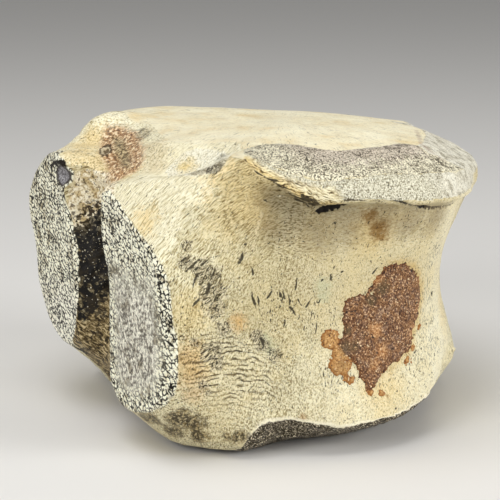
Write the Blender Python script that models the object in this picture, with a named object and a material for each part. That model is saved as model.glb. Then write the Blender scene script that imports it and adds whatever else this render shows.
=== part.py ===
"""Fossil marine-reptile vertebra, the worn centrum alone, lying on one of its end faces.

The bone's length runs up +Z, its width along X and its back, where the arch once stood, faces -Y.
The body is one loft between edge lines that run round it, from the lower end face to the upper.
"""
import math

import bmesh
import bpy
import numpy as np

# Overall size in metres: side to side, back to belly, end to end.
WIDTH = 0.110
DEPTH = 0.097
HEIGHT = 0.068

# From here on millimetres and degrees; degree 0 is the side towards +X, -90 the middle of the back.
# The two arch facets lie in one plane, this far behind the axis, between these degrees.
FACET_PLANE = 50.0
NEAR_FACET = (-79.5, -56.0)
FAR_FACET = (-124.0, -101.0)
FACET_EDGES = ("foot", "waist")

# The upper end face swells gently to its highest point over the axis.
FACE_CREST = 68.0

# Edge lines from the lower end face to the upper: degree, distance from the axis, height.
# Each one has only the stations that its shape needs, and closes on itself.
EDGES = {
    "rest": [
        (-162.0, 38.0, 0.0), (-139.0, 38.0, 0.0), (-127.0, 36.0, 0.0), (-90.0, 33.0, 0.0),
        (-79.5, 36.0, 0.0), (-73.0, 38.0, 0.0), (-66.0, 42.0, 0.0), (-56.0, 45.0, 0.0),
        (-40.0, 44.0, 0.0), (-36.0, 41.0, 0.0), (-26.5, 35.0, 0.0), (-12.0, 34.5, 0.0),
        (40.0, 32.0, 0.0), (155.0, 37.0, 0.0), (178.0, 37.0, 0.0),
    ],
    "under-edge": [
        (-148.0, 47.0, 3.0), (-139.0, 46.6, 3.0), (-120.0, 42.0, 3.8), (-110.0, 42.0, 4.8),
        (-90.0, 41.0, 7.0), (-79.5, 43.5, 4.8), (-73.0, 45.0, 3.6), (-56.0, 50.0, 1.8),
        (-40.0, 49.5, 1.8), (-36.0, 47.5, 2.6), (-31.0, 44.0, 3.2), (-12.0, 42.6, 3.2),
        (4.0, 40.2, 3.2), (40.0, 36.8, 3.6), (58.0, 37.2, 5.0), (75.0, 40.0, 4.6),
        (155.0, 46.0, 3.2),
    ],
    "lower rim": [
        (-139.0, 51.4, 6.6), (-127.0, 49.6, 9.0), (-120.0, 47.8, 10.2), (-110.0, 47.0, 10.6),
        (-101.0, 46.0, 11.0), (-90.0, 46.2, 11.8), (-84.5, 46.0, 11.0), (-79.5, 47.0, 8.0),
        (-73.0, 47.5, 6.0), (-66.0, 50.5, 4.8), (-56.0, 52.5, 4.5), (-40.0, 51.5, 4.5),
        (-36.0, 50.5, 6.0), (-31.0, 48.5, 9.0), (-12.0, 49.4, 6.8), (4.0, 49.0, 7.8),
        (20.0, 46.2, 11.0), (40.0, 42.4, 12.0), (58.0, 42.2, 12.2), (90.0, 44.6, 9.0),
        (106.0, 46.0, 8.6), (130.0, 49.0, 8.0), (178.0, 52.4, 7.2),
    ],
    "foot": [
        (-148.0, 51.0, 18.0), (-139.0, 52.0, 20.0), (-131.0, 54.6, 26.0), (-127.0, 60.8, 35.0),
        (-124.0, 60.3, 27.5), (-120.0, 57.7, 21.2), (-110.0, 53.2, 15.6), (-101.0, 50.9, 18.0),
        (-96.0, 46.4, 17.0), (-90.0, 45.0, 17.0), (-84.5, 46.0, 15.5), (-79.5, 50.8, 13.0),
        (-73.0, 52.3, 8.4), (-66.0, 54.7, 9.0), (-56.0, 60.3, 14.0), (-51.5, 60.4, 18.5),
        (-45.0, 54.6, 18.0), (-40.0, 51.8, 17.0), (-31.0, 48.2, 17.0), (-12.0, 47.0, 17.0),
        (4.0, 46.2, 18.0), (20.0, 44.0, 19.0), (58.0, 40.4, 19.0), (106.0, 42.6, 19.0),
        (155.0, 48.0, 19.0), (178.0, 49.4, 18.0),
    ],
    "waist": [
        (-162.0, 47.6, 38.0), (-148.0, 50.6, 38.0), (-131.0, 58.6, 38.0), (-127.0, 62.6, 47.5),
        (-124.0, 60.3, 53.6), (-120.0, 57.7, 57.0), (-110.0, 53.2, 60.0), (-101.0, 50.9, 52.0),
        (-96.0, 42.4, 38.0), (-90.0, 41.0, 38.0), (-84.5, 42.5, 38.0), (-79.5, 50.8, 55.6),
        (-73.0, 52.3, 54.5), (-56.0, 60.3, 44.5), (-51.5, 60.4, 38.0), (-45.0, 55.6, 38.0),
        (-31.0, 49.0, 38.0), (-12.0, 45.8, 38.0), (4.0, 45.2, 37.0), (58.0, 37.5, 34.5),
        (75.0, 37.4, 35.0), (106.0, 39.0, 36.0), (130.0, 41.0, 37.0), (155.0, 44.0, 37.0),
        (178.0, 46.0, 38.0),
    ],
    "top of wall": [
        (-162.0, 50.6, 57.0), (-148.0, 51.6, 57.5), (-139.0, 53.4, 57.0), (-131.0, 57.6, 53.0),
        (-127.0, 58.4, 56.0), (-120.0, 55.4, 59.4), (-110.0, 52.6, 60.6), (-101.0, 48.0, 56.5),
        (-96.0, 44.0, 54.0), (-90.0, 43.0, 52.0), (-84.5, 44.0, 52.0), (-79.5, 50.6, 56.3),
        (-73.0, 50.5, 56.8), (-60.0, 52.0, 57.0), (-51.5, 54.0, 57.0), (-40.0, 51.6, 57.0),
        (-36.0, 49.5, 57.0), (-31.0, 47.4, 58.2), (-26.5, 46.6, 57.4), (-22.0, 46.8, 56.4),
        (-12.0, 48.6, 56.0), (4.0, 50.6, 55.0), (20.0, 48.8, 54.0), (40.0, 44.4, 53.4),
        (58.0, 44.5, 52.6), (90.0, 44.0, 54.5), (130.0, 46.6, 56.0), (178.0, 50.4, 56.5),
    ],
    "lip": [
        (-148.0, 53.0, 61.6), (-139.0, 52.2, 61.4), (-127.0, 52.2, 61.1), (-124.0, 51.4, 61.1),
        (-110.0, 49.8, 61.0), (-101.0, 46.4, 59.2), (-90.0, 44.5, 56.5), (-84.5, 45.0, 56.5),
        (-79.5, 50.3, 57.0), (-73.0, 49.0, 58.8), (-66.0, 48.2, 60.0), (-45.0, 50.6, 63.6),
        (-40.0, 51.2, 64.8), (-36.0, 50.8, 63.2), (-26.5, 51.3, 58.8), (-22.0, 52.0, 57.3),
        (-12.0, 53.6, 57.6), (4.0, 55.0, 56.4), (20.0, 52.4, 55.6), (30.0, 49.7, 55.5),
        (40.0, 47.4, 55.4), (75.0, 45.8, 56.0), (90.0, 47.0, 57.4), (106.0, 47.8, 58.6),
        (130.0, 51.0, 59.0), (178.0, 55.0, 59.6),
    ],
    "lip top": [
        (-162.0, 53.0, 65.5), (-139.0, 50.0, 65.0), (-131.0, 48.2, 63.2), (-127.0, 45.6, 62.4),
        (-120.0, 43.4, 61.9), (-90.0, 42.5, 60.5), (-84.5, 42.0, 61.0), (-79.5, 42.5, 60.0),
        (-73.0, 42.0, 60.5), (-66.0, 42.0, 61.2), (-60.0, 41.0, 61.8), (-45.0, 47.0, 65.6),
        (-40.0, 49.5, 66.3), (-31.0, 47.7, 64.6), (-22.0, 48.2, 62.8), (-12.0, 49.8, 62.5),
        (4.0, 51.4, 61.8), (20.0, 50.0, 61.0), (40.0, 46.6, 59.6), (58.0, 46.0, 58.8),
        (75.0, 44.0, 60.2), (90.0, 42.8, 60.6), (106.0, 46.4, 62.6), (130.0, 49.4, 62.6),
        (155.0, 52.4, 62.6), (178.0, 53.6, 64.4),
    ],
    "face edge": [
        (-162.0, 44.0, 66.9), (-131.0, 38.0, 66.8), (-120.0, 36.0, 66.4), (-101.0, 35.6, 65.7),
        (-90.0, 36.0, 65.6), (-79.5, 35.0, 66.0), (-60.0, 34.0, 66.4), (-51.5, 35.5, 66.7),
        (-45.0, 38.0, 67.0), (-40.0, 38.5, 67.1), (-31.0, 34.0, 67.0), (-22.0, 36.0, 66.4),
        (-12.0, 37.0, 66.2), (4.0, 39.0, 66.0), (20.0, 39.5, 65.8), (40.0, 35.5, 65.4),
        (58.0, 34.5, 65.0), (90.0, 34.6, 64.4), (106.0, 37.0, 64.2), (130.0, 40.0, 64.0),
        (155.0, 42.0, 64.2), (178.0, 44.0, 65.6),
    ],
}

# Rows of faces from each edge up to the next; the rest face and the last row close on the axis.
REST_ROWS = 3
ROWS = {"rest": 2, "under-edge": 2, "lower rim": 4, "foot": 9, "waist": 6, "top of wall": 2,
        "lip": 3, "lip top": 4, "face edge": 8}
CURVED_ABOVE = ("foot", "waist")

# Widest step between columns, in degrees: on the faceted back, and on the smooth rest.
BACK = (-135.0, -60.0)
BACK_STEP = 2.4
SMOOTH_STEP = 3.8

# The canal leans to the far side above the waist: how far, about which x, over what spread.
LEAN = 5.0
LEAN_X = -2.0
LEAN_SPREAD = 20.0
LEAN_RISE = (34.0, 48.0)
LEAN_EASE = (54.0, 60.0)
LEAN_KEPT = 0.4
LEAN_DEPTH = (30.0, 42.0)

# Eroded hollows in the slope behind the back's crest: x, y, turn, half length, half width, depth.
HOLLOWS = [
    (-7.0, -38.0, -25.0, 18.0, 8.5, 2.6),
    (20.0, -33.5, 35.0, 13.0, 6.5, 2.2),
    (-27.0, -38.5, 20.0, 8.0, 5.0, 1.0),
]
HOLLOW_RISE = (54.0, 58.0)

BONE = (0.74, 0.68, 0.53, 1.0)
ROUGHNESS = 0.62


def clear_scene():
    """Remove what the empty file starts with."""
    for item in list(bpy.data.objects):
        bpy.data.objects.remove(item, do_unlink=True)


def between(span, value):
    """Smooth rise from 0 at the span's low end to 1 at its high end."""
    t = np.clip((value - span[0]) / (span[1] - span[0]), 0.0, 1.0)
    return t * t * (3.0 - 2.0 * t)


def around(angles, values, wanted):
    """Read values given at some angles at the wanted ones, smoothly and without overshoot."""
    stations = np.concatenate([angles - 360.0, angles, angles + 360.0])
    levels = np.concatenate([values, values, values])
    gaps = np.diff(stations)
    slopes = np.diff(levels) / gaps
    tangents = np.zeros(len(stations))
    for i in range(1, len(stations) - 1):
        before, after = slopes[i - 1], slopes[i]
        if before * after > 0.0:
            near = 2.0 * gaps[i] + gaps[i - 1]
            far = gaps[i] + 2.0 * gaps[i - 1]
            tangents[i] = (near + far) / (near / before + far / after)
    k = np.clip(np.searchsorted(stations, wanted, side="right") - 1, 0, len(gaps) - 1)
    t = (wanted - stations[k]) / gaps[k]
    rise = t * t * (3.0 - 2.0 * t)
    start = t * (1.0 - t) ** 2 * gaps[k] * tangents[k]
    end = t * t * (t - 1.0) * gaps[k] * tangents[k + 1]
    return levels[k] + (levels[k + 1] - levels[k]) * rise + start + end


def column_angles():
    """Every station's own angle and even steps between, closer together on the back."""
    stations = sorted({station[0] for edge in EDGES.values() for station in edge})
    angles = []
    for start, end in zip(stations, stations[1:] + [stations[0] + 360.0]):
        step = BACK_STEP if BACK[0] <= start < BACK[1] else SMOOTH_STEP
        count = max(1, round((end - start) / step))
        angles += [start + (end - start) * j / count for j in range(count)]
    return np.array(angles)


def on_facet(angles):
    """True for the columns that cross one of the two flat facets."""
    near = (angles >= NEAR_FACET[0]) & (angles <= NEAR_FACET[1])
    far = (angles >= FAR_FACET[0]) & (angles <= FAR_FACET[1])
    return near | far


def edge_at(name, angles, faceted):
    """Radius and height of one edge in every column, on the facet plane where it bounds a facet."""
    stations = np.array(sorted(EDGES[name]))
    radius = around(stations[:, 0], stations[:, 1], angles)
    height = around(stations[:, 0], stations[:, 2], angles)
    if name in FACET_EDGES:
        facing = np.abs(np.sin(np.radians(angles)))
        radius = np.where(faceted, FACET_PLANE / np.where(faceted, facing, 1.0), radius)
    return radius, height


def curve(before, start, end, after, t):
    """Smooth curve from start to end, aimed by its neighbours."""
    linear = (end - before) * t
    square = (2.0 * before - 5.0 * start + 4.0 * end - after) * t * t
    cube = (3.0 * start - before - 3.0 * end + after) * t ** 3
    return 0.5 * (2.0 * start + linear + square + cube)


def rows_above(name, edges, faceted):
    """The edge and the rows above it, up to the next edge, which is left out."""
    order = list(EDGES)
    index = order.index(name)
    below, start, end = edges[max(index - 1, 0)], edges[index], edges[index + 1]
    beyond = edges[index + 2] if name == "foot" else end
    rows = []
    for row in range(ROWS[name]):
        t = row / ROWS[name]
        place = [a + (b - a) * t for a, b in zip(start, end)]
        if name in CURVED_ABOVE:
            bent = [curve(p, a, b, q, t) for p, a, b, q in zip(below, start, end, beyond)]
            place = [np.where(faceted, flat, free) for flat, free in zip(place, bent)]
        rows.append(place)
    return rows


def face_rows(edge):
    """The upper end face, from its edge inwards, rising to the crest."""
    rows = []
    for row in range(ROWS["face edge"]):
        t = row / ROWS["face edge"]
        rows.append([edge[0] * (1.0 - t), FACE_CREST - (FACE_CREST - edge[1]) * (1.0 - t) ** 2])
    return rows


def lean(x, y, z):
    """Carry the canal's upper part and its two edges towards the far side."""
    rise = between(LEAN_RISE, z)
    ease = 1.0 - (1.0 - LEAN_KEPT) * between(LEAN_EASE, z)
    side = np.exp(-((x - LEAN_X) / LEAN_SPREAD) ** 2) * between(LEAN_DEPTH, -y)
    return x - LEAN * rise * ease * side


def hollow_depth(x, y, z):
    """How far the eroded hollows sink the surface at each point."""
    depth = np.zeros(len(x))
    for cx, cy, turn, half_long, half_wide, deep in HOLLOWS:
        c, s = math.cos(math.radians(turn)), math.sin(math.radians(turn))
        along = ((x - cx) * c + (y - cy) * s) / half_long
        across = ((y - cy) * c - (x - cx) * s) / half_wide
        inside = np.clip(1.0 - along * along - across * across, 0.0, 1.0)
        depth += deep * np.sqrt(inside) * inside
    return depth * between(HOLLOW_RISE, z)


def surface_rings():
    """All rings of the closed surface between its lowest and its highest point."""
    angles = column_angles()
    faceted = on_facet(angles)
    edges = [edge_at(name, angles, faceted) for name in EDGES]
    rest = edges[0]
    rings = [[rest[0] * row / REST_ROWS, rest[1]] for row in range(1, REST_ROWS)]
    for name in list(EDGES)[:-1]:
        rings += rows_above(name, edges, faceted)
    rings += face_rows(edges[-1])
    turn = np.radians(angles)
    placed = []
    for radius, height in rings:
        x, y = radius * np.cos(turn), radius * np.sin(turn)
        x = lean(x, y, height)
        placed.append(np.stack([x, y, height - hollow_depth(x, y, height)], axis=1))
    return np.array(placed)


def fit_to_size(rings):
    """Set the body on z = 0 over the origin at its stated outer size, in metres."""
    low = rings.reshape(-1, 3).min(axis=0)
    high = rings.reshape(-1, 3).max(axis=0)
    low[2], high[2] = 0.0, FACE_CREST
    middle = (low + high) / 2.0
    middle[2] = 0.0
    scale = np.array([WIDTH, DEPTH, HEIGHT]) / (high - low)
    return (rings - middle) * scale, -middle[:2] * scale[:2]


def vertebra_mesh():
    """Close the rings into one body with a point below and a point above."""
    rings, axis = fit_to_size(surface_rings())
    bm = bmesh.new()
    below = bm.verts.new((axis[0], axis[1], 0.0))
    grid = [[bm.verts.new(point) for point in ring] for ring in rings]
    above = bm.verts.new((axis[0], axis[1], HEIGHT))
    count = len(grid[0])
    for i in range(count):
        j = (i + 1) % count
        bm.faces.new((below, grid[0][j], grid[0][i]))
        bm.faces.new((above, grid[-1][i], grid[-1][j]))
        for low, high in zip(grid, grid[1:]):
            bm.faces.new((low[i], low[j], high[j], high[i]))
    bmesh.ops.triangulate(bm, faces=list(bm.faces))
    bm.normal_update()
    mesh = bpy.data.meshes.new("centrum")
    bm.to_mesh(mesh)
    bm.free()
    return mesh


def bone_material():
    """Cream fossil bone."""
    material = bpy.data.materials.new("fossil_bone")
    material.use_nodes = True
    shader = material.node_tree.nodes["Principled BSDF"]
    shader.inputs["Base Color"].default_value = BONE
    shader.inputs["Roughness"].default_value = ROUGHNESS
    return material


def main():
    clear_scene()
    collection = bpy.data.collections.new("pliosaur_vertebra")
    bpy.context.scene.collection.children.link(collection)
    mesh = vertebra_mesh()
    mesh.materials.append(bone_material())
    body = bpy.data.objects.new("centrum", mesh)
    collection.objects.link(body)


main()
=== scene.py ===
"""Fossil marine-reptile vertebra: the worn centrum lying on one end face, in soft studio light.

Sizes are in millimetres unless a name says otherwise, and MM turns them into the scene's metres.
The bone's back, with its two arch facets and the canal between them, faces -Y.
"""
import math
from functools import partialmethod

import bmesh
import bpy
import numpy as np
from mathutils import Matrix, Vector, noise
from mathutils.bvhtree import BVHTree


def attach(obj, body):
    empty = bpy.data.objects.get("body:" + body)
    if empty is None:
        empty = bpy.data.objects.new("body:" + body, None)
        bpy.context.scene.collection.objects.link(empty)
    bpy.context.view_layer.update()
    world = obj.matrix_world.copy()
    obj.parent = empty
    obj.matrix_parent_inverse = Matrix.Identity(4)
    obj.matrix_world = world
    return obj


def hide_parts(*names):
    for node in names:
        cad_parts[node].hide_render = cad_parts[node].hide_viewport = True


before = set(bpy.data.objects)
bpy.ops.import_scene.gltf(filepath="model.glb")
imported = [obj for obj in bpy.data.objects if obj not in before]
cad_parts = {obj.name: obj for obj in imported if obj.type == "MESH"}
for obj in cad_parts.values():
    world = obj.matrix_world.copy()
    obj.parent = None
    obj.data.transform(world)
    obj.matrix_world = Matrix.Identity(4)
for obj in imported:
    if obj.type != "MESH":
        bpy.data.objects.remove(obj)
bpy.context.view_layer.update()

# The bone: one solid piece, the centrum of a swimming reptile's vertebra, turned to stone.
# Fibrous skin covers its sides, rough bone shows on the rims and on the two facets of the arch.
# It is cleaned by hand, so dark matrix is left only in the canal, the pits and the cracks.
MM = 0.001
# The bone's axis, the radius on which its wall is rolled out flat, and how its skin is made even.
AXIS_X = 0.05
AXIS_Y = 1.7
WALL_RADIUS = 48.0
WELD = 0.002
GRID = 0.68
EASE_ROUNDS = 2
# What a mask says well outside its outline, the most that it says, and a distance past every edge.
OUTSIDE = -4.0
MASK_LIMIT = 8.0
FAR_OFF = 99.0
# The canal, its matrix, the facets and the small round pit lie behind these depths, in y.
CANAL_BACK = -43.0
MATRIX_BACK = -38.0
FACET_BACK = -45.4
PIT_BACK = -46.6

# Closed outlines. The facets, the canal and its matrix are seen square from behind: (x, z).
NEAR_FACET = [
    (5, 52), (6.3, 55.5), (9, 56.6), (14.5, 54.6), (18.6, 52.9), (24, 50.6), (28.8, 48.3), (32.2, 46.4),
    (34.4, 44.4), (35.8, 41.6), (36.8, 37.5), (37.5, 33.3), (38.4, 29), (38.6, 24.7), (38, 20.2), (36.8, 17),
    (34.3, 13.7), (29.2, 11), (21.9, 8.9), (15.1, 8.5), (10, 11), (8.4, 15.4), (8, 30), (6, 42),
]
FAR_FACET = [
    (-20.4, 60.6), (-17, 59.8), (-15.6, 58.6), (-13.8, 57.1), (-13.8, 54.8), (-15.4, 53), (-14.4, 50.5),
    (-13.2, 47.1), (-12.2, 43.7), (-10.6, 40.4), (-9.4, 37), (-8.9, 32.4), (-9.3, 27.5), (-10, 22.5),
    (-10.9, 19.4), (-14.6, 14.6), (-22, 16.4), (-31, 20.5), (-37, 28), (-39.5, 40), (-38, 51), (-33, 58.5),
    (-25.5, 62),
]
MATRIX = [
    (-12.6, 44.2), (-11.2, 44.6), (-11, 46.4), (-10.3, 48.6), (-4, 50), (3, 49.5), (6.8, 46), (8.4, 36),
    (8.8, 28), (4, 25.5), (-1, 29.5), (-4.6, 30.2), (-5.7, 26.6), (-7.1, 24.2), (-8.7, 22.3), (-9.8, 23.2),
    (-9.4, 30), (-9.7, 37), (-11.2, 41),
]
# The rough band above the lip and the hollow beside the canal are seen from above: (x, y).
ROUGH_BAND = [
    (29.4, -25), (27.9, -20.2), (27.4, -14.8), (29.9, -11.1), (34.4, -8.8), (36.9, -5.4), (37.4, -0.5),
    (37.1, 4.8), (35.2, 11), (36.6, 15), (40.4, 15.3), (41.8, 19.5), (43.6, 23), (47.4, 18), (49.6, 11),
    (50.6, 6), (50.2, 1.6), (49.4, -3.2), (49.3, -7.7), (47.9, -11.9), (46, -15.9), (43.6, -19.6),
    (41.2, -23.3), (38.6, -26.4), (34, -27.7),
]
RUST_HOLLOW = [
    (-26.1, -31.6), (-22, -29.8), (-15.1, -29.6), (-7.7, -31.9), (1.5, -35.4), (5.4, -37.4), (6.8, -40),
    (4, -43.5), (-4.3, -42.3), (-8.9, -40.8), (-14.4, -39.6), (-23.1, -35.8),
]
LENS_HOLLOW = [
    (13.5, -36.3), (13.2, -33.6), (13.7, -31.4), (15, -29.5), (18.2, -27.4), (22.7, -26.1), (31.1, -28.9),
    (34.9, -32.5), (34.5, -34.8), (31.8, -36.9), (27.7, -38.4), (20, -38),
]
# The iron crust on the right side, seen square from the right: (y, z).
CRUST = [
    (0.9, 41), (3.2, 41.9), (6.3, 41.3), (9, 40), (11.4, 37.7), (12.8, 34.6), (13.1, 31.5), (12.2, 28.2),
    (10.2, 25.4), (9.7, 22), (8.2, 20.6), (6.5, 20.6), (4.6, 19), (3.1, 19.4), (1.8, 17.8), (0.2, 17.2),
    (-1.2, 15.4), (-3, 14.1), (-4.3, 13.9), (-4.6, 15.8), (-5.8, 17.1), (-6, 18.6), (-7, 20.8), (-8, 22),
    (-10.4, 22.8), (-10.6, 24.8), (-9.4, 26.4), (-8.8, 28.4), (-8.9, 31.6), (-8.5, 34.2), (-6.8, 35.2),
    (-5, 35.8), (-3.6, 35.2), (-2.6, 36.4), (-1.6, 38.2), (-0.2, 39.8),
]
# The height of the chipped underside's upper edge, by degree round the bone.
CHIPPED_TO = [
    (-180, 4), (-80, 3), (-64, 1.6), (-45, 1), (-40, 2.6), (-38, 5.4), (-35, 8.4), (-28, 8.8), (-23, 8.1),
    (-18, 7.3), (-14, 6.6), (-8, 7.4), (-3, 8.1), (1, 8.2), (5, 8.7), (8, 9), (12, 9.5), (17, 9.6), (24, 8),
    (40, 5), (180, 4),
]
# The lower edge of the splintered lip, on the wall rolled out flat: along, up.
LIP_FOOT = [
    (-151, 72), (-110, 69), (-107.4, 66.4), (-104.6, 64.2), (-102.1, 62.8), (-98.7, 60.8), (-95.7, 58.9),
    (-91.9, 56.8), (-88, 56.4), (-80, 54), (0, 50), (151, 50),
]
# Cracks and other lines, as lines of points: x, y, z.
LIP_FLAKES = [(44.6, -19.8, 57.6), (45.4, -18, 57), (46.2, -16.6, 56.6), (46.8, -15, 56.4)]
LIP_CRACK = [
    (50.9, -12.6, 57.9), (52, -10.1, 58.1), (53.1, -7.8, 57.6), (53.7, -4.4, 57.2), (54.3, -2.8, 57.4),
    (54.6, -1.3, 57.1), (53.1, 1.8, 56.1), (51.5, 5, 55.3), (50.1, 8.1, 54.5), (47.8, 13.9, 53.4),
    (43.6, 20.9, 53.2),
]
LIP_GAP = LIP_CRACK[4:9]
SPLINTERS = [
    (38.2, -30.3, 65.4), (39.9, -29.4, 63.4), (41.6, -27.4, 61.6), (42.8, -24.6, 60.2), (43.6, -21.8, 58.8),
    (44.6, -19.6, 58), (45.6, -17.4, 57.4), (47.5, -15, 57),
]
FLOOR_CRACK = [(-16.8, -47.6, 15.2), (-13.8, -46.2, 14.2), (-11.6, -45.4, 13.6)]
# The lens hollow's lower edge, darkened partly as painted shadow inside the hollow.
LENS_EDGE = [(28.6, -36, 62.7), (31.7, -35.7, 63.1), (32.3, -34.1, 63.9), (33.3, -32.4, 65)]
# The crease's ridge, along which a painted highlight is laid.
CREASE = [(40.4, -26.7, 55.1), (40.5, -28.2, 50.9), (40.7, -29.7, 44.6)]
CORNER_LINE = [(15.6, 29.3, 65.4), (31.3, 19.7, 65.8), (36.4, 16.4, 65.6), (39.6, 17.4, 64.6), (43, 19, 62.9)]

# The undercut of the lip's corner, a wedge: x, y, z and how far it is open on either side.
UNDERCUT = [
    (43.6, -15.8, 54.4, 0.4), (44.1, -14.9, 54.8, 0.7), (44.8, -13.8, 55.2, 0.95), (45.5, -12.7, 55.6, 1.05),
    (46.4, -11.8, 55.9, 1), (47.4, -11.1, 56.2, 0.8), (48.5, -10.6, 56.5, 0.6), (49.6, -10.3, 56.8, 0.4),
]
# Pits and small projections: x, y, z, how far they reach and how deep they are, or high if below 0.
PITS = [
    (40.4, -31.5, 45.6, 1.1, 0.5), (40.8, -29.6, 42.9, 1.1, 0.5), (39.2, -38.3, 25, 2.6, 0.6),
    (38.9, -38.9, 41.6, 2.4, 0.6), (39.3, -37.9, 38, 2.6, 0.6), (39.6, -37.2, 35, 2.2, 0.5),
    (40.9, -27.6, 28, 1.9, 0.5), (41.2, -26, 25, 1.8, 0.4), (44.4, -12.1, 39.9, 0.9, 0.4),
    (45.4, -1.9, 35.8, 1.3, 0.5), (38.9, 18.3, 31.6, 1.4, 0.5), (33.2, -34.2, 63.9, 2.4, 0.5),
    (31.4, 29.4, 15, 1.5, -1.7), (35.5, 26, 11, 7, 2), (41, 20.5, 9.5, 6, 1.2), (44.2, 16, 11.3, 2.2, 0.6),
    (40.6, -27.4, 31, 2.4, -0.4), (39, -42.6, 27.7, 1.6, 0.5), (-8.6, -37.6, 60.8, 5, 0.5),
    (24, -31, 63.4, 6, 0.6), (-5.5, -43, 10, 9, 1.3), (38.5, -45.6, 28.9, 1.3, 0.5), (9, 42.6, 34, 2.4, 2),
    (-12, 42, 35.5, 2.2, 1.8), (-44.6, 2, 30, 1.8, 0.9), (30, 32, 42, 1.6, 0.8),
]
# The round pit is seen square from behind: (x, z). The crack runs over it.
ROUND_PIT = (-17.2, 55.9)
ROUND_PIT_WIDE = 3.1
ROUND_PIT_TALL = 2.6
ROUND_PIT_DEEP = 1.5
PIT_CRACK = [(-23.2, -48.4, 57), (-21.8, -48.4, 58.2), (-18.6, -48.4, 58.9), (-16, -48, 58.9)]
# The small hole with a ring round it, on the slope over the back's edge.
RINGED_PIT = (-15.6, -37.5, 61.1)
RINGED_WIDE = 1.35
RINGED_TALL = 1.5
RINGED_TURN = 60.0
RINGED_DEEP = 1.0
RINGED_REACH = 9.0
# Where the rim is fuller than the node's: x, y, z, reach and how much.
FULLER = [(-29.4, -33.4, 63.4, 8, 2.7), (-30.5, -28, 65.8, 9, 1.6)]
RIM_TOP = 67.9

# Stains, open bone and spots of painted shade: x, y, z and reach.
OCHRE = [
    (16.8, -33, 62.4, 3.8), (40.3, -32.4, 31.9, 3), (38.8, -43.4, 25, 5), (38.6, -42.6, 20.6, 5.4),
    (38.4, -42, 16.6, 4), (44.3, -18.5, 9.4, 1.4),
]
RUST_STAIN = [
    (48.3, -2.2, 50.2, 3.6), (48.4, -1.2, 48.6, 2.6), (48.6, -4.6, 53.6, 3), (44.3, -18.5, 9.4, 1.2),
    (46.2, -7.3, 17.2, 0.9), (48.2, 0.9, 12.4, 0.8),
]
WARM_STAIN = [
    (-30, 33, 22, 14), (-44, -8, 18, 12), (14, 41, 50, 12), (34, 28, 26, 9), (-9, -40.5, 58.6, 12),
    (-24, -38, 61.5, 9), (2, -42, 57.5, 8), (-18, -43, 59, 7), (20, -8, 68, 9), (5.3, -7.5, 68, 6),
    (24, -45, 51, 6), (39.4, -31, 62, 11), (40.3, -30.5, 56, 8.5), (39, -34, 55, 8), (48, 1, 13, 9),
    (38.6, -43, 24, 9), (48.4, -3, 50, 8), (38.4, -43, 34, 7),
]
OPEN_BONE = [
    (9, 42.6, 34, 3.6), (-12, 42, 35.5, 3.4), (-44.6, 2, 30, 3), (-40, 20, 12, 5), (20, 38.5, 14, 4.5),
    (-30, 32.5, 48, 4), (-45, -14, 46, 4), (-47, 8, 52, 3), (38.9, -38.9, 42, 3.2), (39.3, -38, 38.5, 4.2),
    (39.5, -37.4, 35, 3.4), (38.6, -40.4, 45, 1.6), (39.2, -38.3, 25.4, 3.2), (39.3, -37, 22.8, 2.2),
    (40.9, -28.2, 28.2, 2), (41.1, -26.7, 26.2, 2), (41.6, -24.2, 23.6, 2.2), (39.3, -42.4, 28.2, 1.3),
    (39, -40.2, 18.6, 1.6), (39.6, -35.5, 30.4, 2.4), (33, -34.5, 64, 3), (39.3, -38.8, 16, 1.6),
    (-12, -29.9, 65.4, 2.6), (36.4, -42.6, 48.6, 1.6), (37.9, -44.4, 29.2, 1.2), (24, -28.3, 65, 2.4),
    (36.8, -42.8, 45.2, 2.2), (38.2, -40.2, 44.4, 2.4),
]
UPRIGHT_DASHES = [
    (25, 36, 36, 9), (-4, 43, 20, 9), (-36, 26, 34, 9), (-46, -2, 36, 8), (40.9, -23, 34.5, 5),
    (42.6, 12.5, 30, 5), (40.5, 16.5, 32, 6), (44, 11, 20, 8), (44.2, -14, 31, 6), (41.5, 16, 22, 9),
    (44.6, -10.8, 18, 5), (40.6, 17, 42, 6),
]
GREY_GREEN = [(44, -13.6, 38.2, 2.8), (44.1, -13.4, 36, 2.4), (41.3, -26, 27.4, 2.2), (41.5, -25, 25, 2.4)]
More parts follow.
